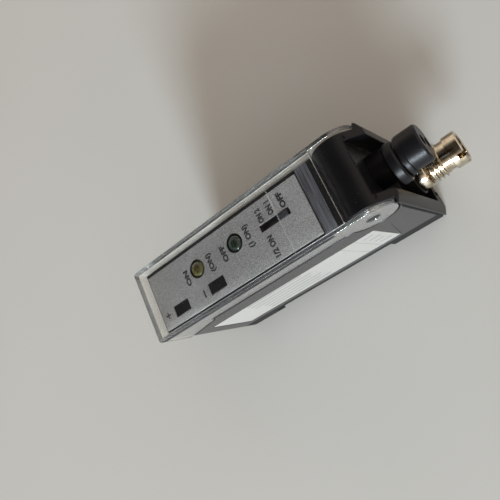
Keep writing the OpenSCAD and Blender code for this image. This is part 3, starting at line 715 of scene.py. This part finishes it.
for name, text, x, y0, y1 in (
    ("mark_slot_rear", "OFF", 40.95, 2.19, 5.76),
    ("mark_slot_middle", "ON 1", 37.7, 2.45, 5.6),
    ("mark_slot_front", "ON 2", 34.9, 2.15, 5.35),
    ("mark_slot_side", "1/2 ON", 35.05, -5.98, -1.05),
    ("mark_green_rear", "(1 ON)", 30.65, -1.2, 4.11),
    ("mark_green_front", "OFF", 23.15, -0.68, 3.22),
    ("mark_yellow_rear", "(ON)", 19.15, -0.83, 3.55),
    ("mark_yellow_front", "ON", 11.5, -0.58, 3.2),
):
    mark(name, text, x, y0, y1)


def bars(name, boxes, look):
    """Flat printed bars, each given by two opposite corners in millimetres."""
    mesh = bpy.data.meshes.new(name)
    work = bmesh.new()
    for low, high in boxes:
        a, b = at(*low), at(*high)
        made = bmesh.ops.create_cube(work, size=1)["verts"]
        size = Matrix.Diagonal((*(b - a), 1))
        bmesh.ops.transform(work, matrix=Matrix.Translation((a + b) / 2) @ size, verts=made)
    work.to_mesh(mesh)
    work.free()
    piece(name, mesh, look, "case")


bars("mark_plus", [
    ((1.5, -3.84, INK_LOW), (3.0, -3.5, INK_HIGH)), ((2.08, -4.42, INK_LOW), (2.42, -2.92, INK_HIGH)),
], ink_look)
bars("mark_minus", [((14.05, -4.95, INK_LOW), (14.5, -3.15, INK_HIGH))], ink_look)

LABEL_FACE, LABEL_INK = -8.948, -8.956
LABEL_LOW, LABEL_HIGH = 7.7, 25.7
rules = [((x, LABEL_INK, LABEL_LOW), (x + 0.15, LABEL_FACE, LABEL_HIGH)) for x in (43.05, 46.45)]
for i in range(6):
    z = 10.2 + 2.6 * i
    rules.append(((14 + 0.6 * (i % 3), LABEL_INK, z), (33 - 1.5 * (i % 2), LABEL_FACE, z + 0.55)))
for i in range(4):
    z = 11 + 3.4 * i
    rules.append(((47.6, LABEL_INK, z), (50.6 - 0.6 * (i % 2), LABEL_FACE, z + 0.5)))
bars("label_rules", rules, label_ink_look)


# Stage
floor_mesh = bpy.data.meshes.new("floor")
REACH = 3
corners = [(-REACH, -REACH, 0), (REACH, -REACH, 0), (REACH, REACH, 0), (-REACH, REACH, 0)]
floor_mesh.from_pydata(corners, [], [(0, 1, 2, 3)])
floor = bpy.data.objects.new("floor", floor_mesh)
bpy.context.scene.collection.objects.link(floor)
floor_look = Look("table_top")
patches = floor_look.span(floor_look.noise(120, 2), 0.3, 0.7, 0, 1)
floor_look.set(base_color=floor_look.blend(patches, (0.53, 0.525, 0.50), (0.55, 0.545, 0.52)), roughness=0.6)
floor_look.set(specular_ior_level=0.2)
floor_mesh.materials.append(floor_look.material)

KEY_PLACE, KEY_TARGET = Vector((-0.321, -1.651, 0.612)), Vector((0, 0, 0.01))
lamp = bpy.data.lights.new("key", "AREA")
lamp.shape = "DISK"
lamp.size = 0.6
lamp.energy = 41.5
lamp.color = (0.87, 1.0, 1.1)
key_light = bpy.data.objects.new("key", lamp)
bpy.context.scene.collection.objects.link(key_light)
key_light.location = KEY_PLACE
key_light.rotation_euler = (KEY_TARGET - KEY_PLACE).to_track_quat("-Z", "Y").to_euler()

# The room lights from all sides, less from a wide patch overhead; the camera sees a plain backdrop
world = bpy.data.worlds.new("room")
bpy.context.scene.world = world
world.use_nodes = True
tree = world.node_tree
background = tree.nodes["Background"]
coord = tree.nodes.new("ShaderNodeTexCoord")
towards = tree.nodes.new("ShaderNodeVectorMath")
towards.operation = "DOT_PRODUCT"
DARK_PATCH = (-0.34, 0.06, 0.94)
towards.inputs[1].default_value = DARK_PATCH
tree.links.new(coord.outputs["Generated"], towards.inputs[0])
lift = tree.nodes.new("ShaderNodeMapRange")
lift.interpolation_type = "SMOOTHSTEP"
tree.links.new(towards.outputs["Value"], lift.inputs["Value"])
for key, number in (("From Min", 0.45), ("From Max", 0.88), ("To Min", 1.0), ("To Max", 0.05)):
    lift.inputs[key].default_value = number
tree.links.new(lift.outputs["Result"], background.inputs["Strength"])
background.inputs["Color"].default_value = (1.13, 1.0, 0.88, 1)
plain = tree.nodes.new("ShaderNodeBackground")
plain.inputs["Color"].default_value = (0.62, 0.615, 0.6, 1)
seen = tree.nodes.new("ShaderNodeLightPath")
choice = tree.nodes.new("ShaderNodeMixShader")
tree.links.new(seen.outputs["Is Camera Ray"], choice.inputs["Fac"])
tree.links.new(background.outputs["Background"], choice.inputs[1])
tree.links.new(plain.outputs["Background"], choice.inputs[2])
tree.links.new(choice.outputs["Shader"], tree.nodes["World Output"].inputs["Surface"])
